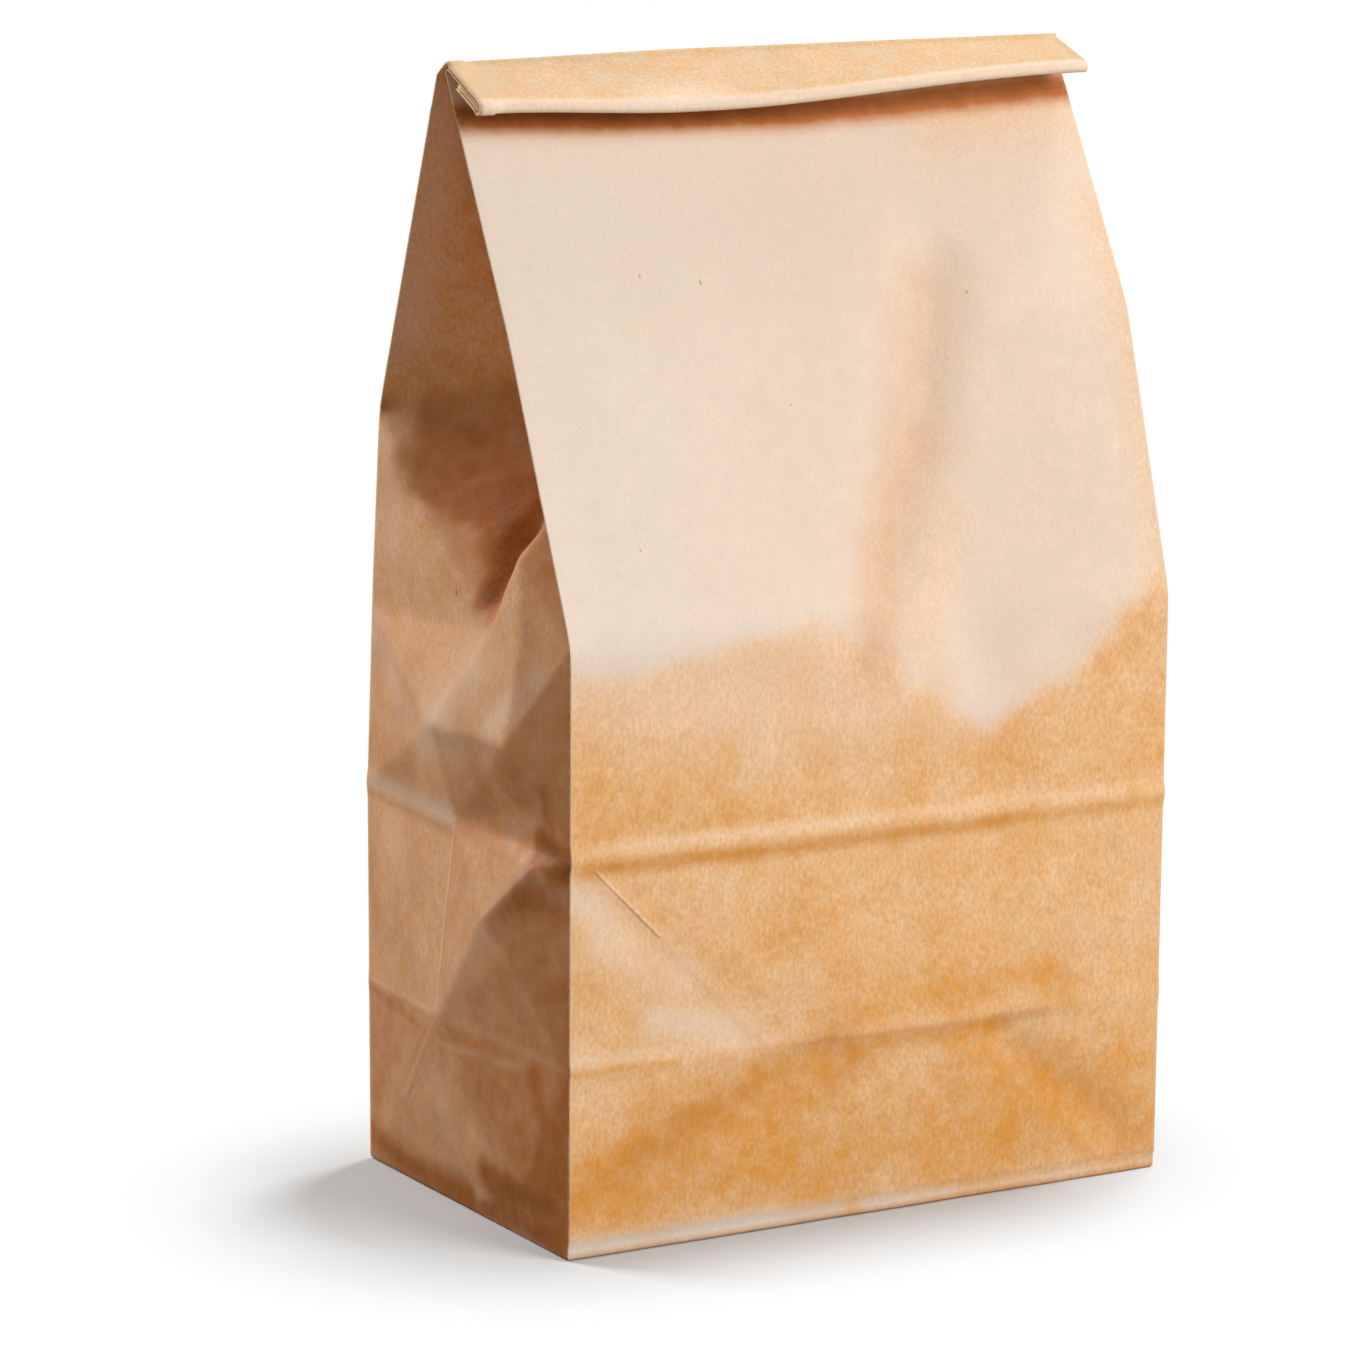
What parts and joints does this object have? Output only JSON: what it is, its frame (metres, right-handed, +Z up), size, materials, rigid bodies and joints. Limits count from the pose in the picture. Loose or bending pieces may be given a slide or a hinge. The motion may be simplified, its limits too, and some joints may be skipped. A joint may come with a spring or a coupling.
{
  "type": "paper lunch bag",
  "caption": "Square-based paper bag standing open on its base, with gussets folded in towards the top and its mouth rolled shut over the front.",
  "frame": {"origin": "middle of the bag's box, on the surface that it stands on", "axes": "+Z up, +X along the width of the front panel, -Y out of the front panel that the flap hangs over"},
  "size_m": [0.165, 0.0962, 0.2532],
  "materials": {
    "kraft_paper": "satin"
  },
  "bodies": {
    "root": {"paper_bag": "kraft_paper"}
  },
  "joints": []
}
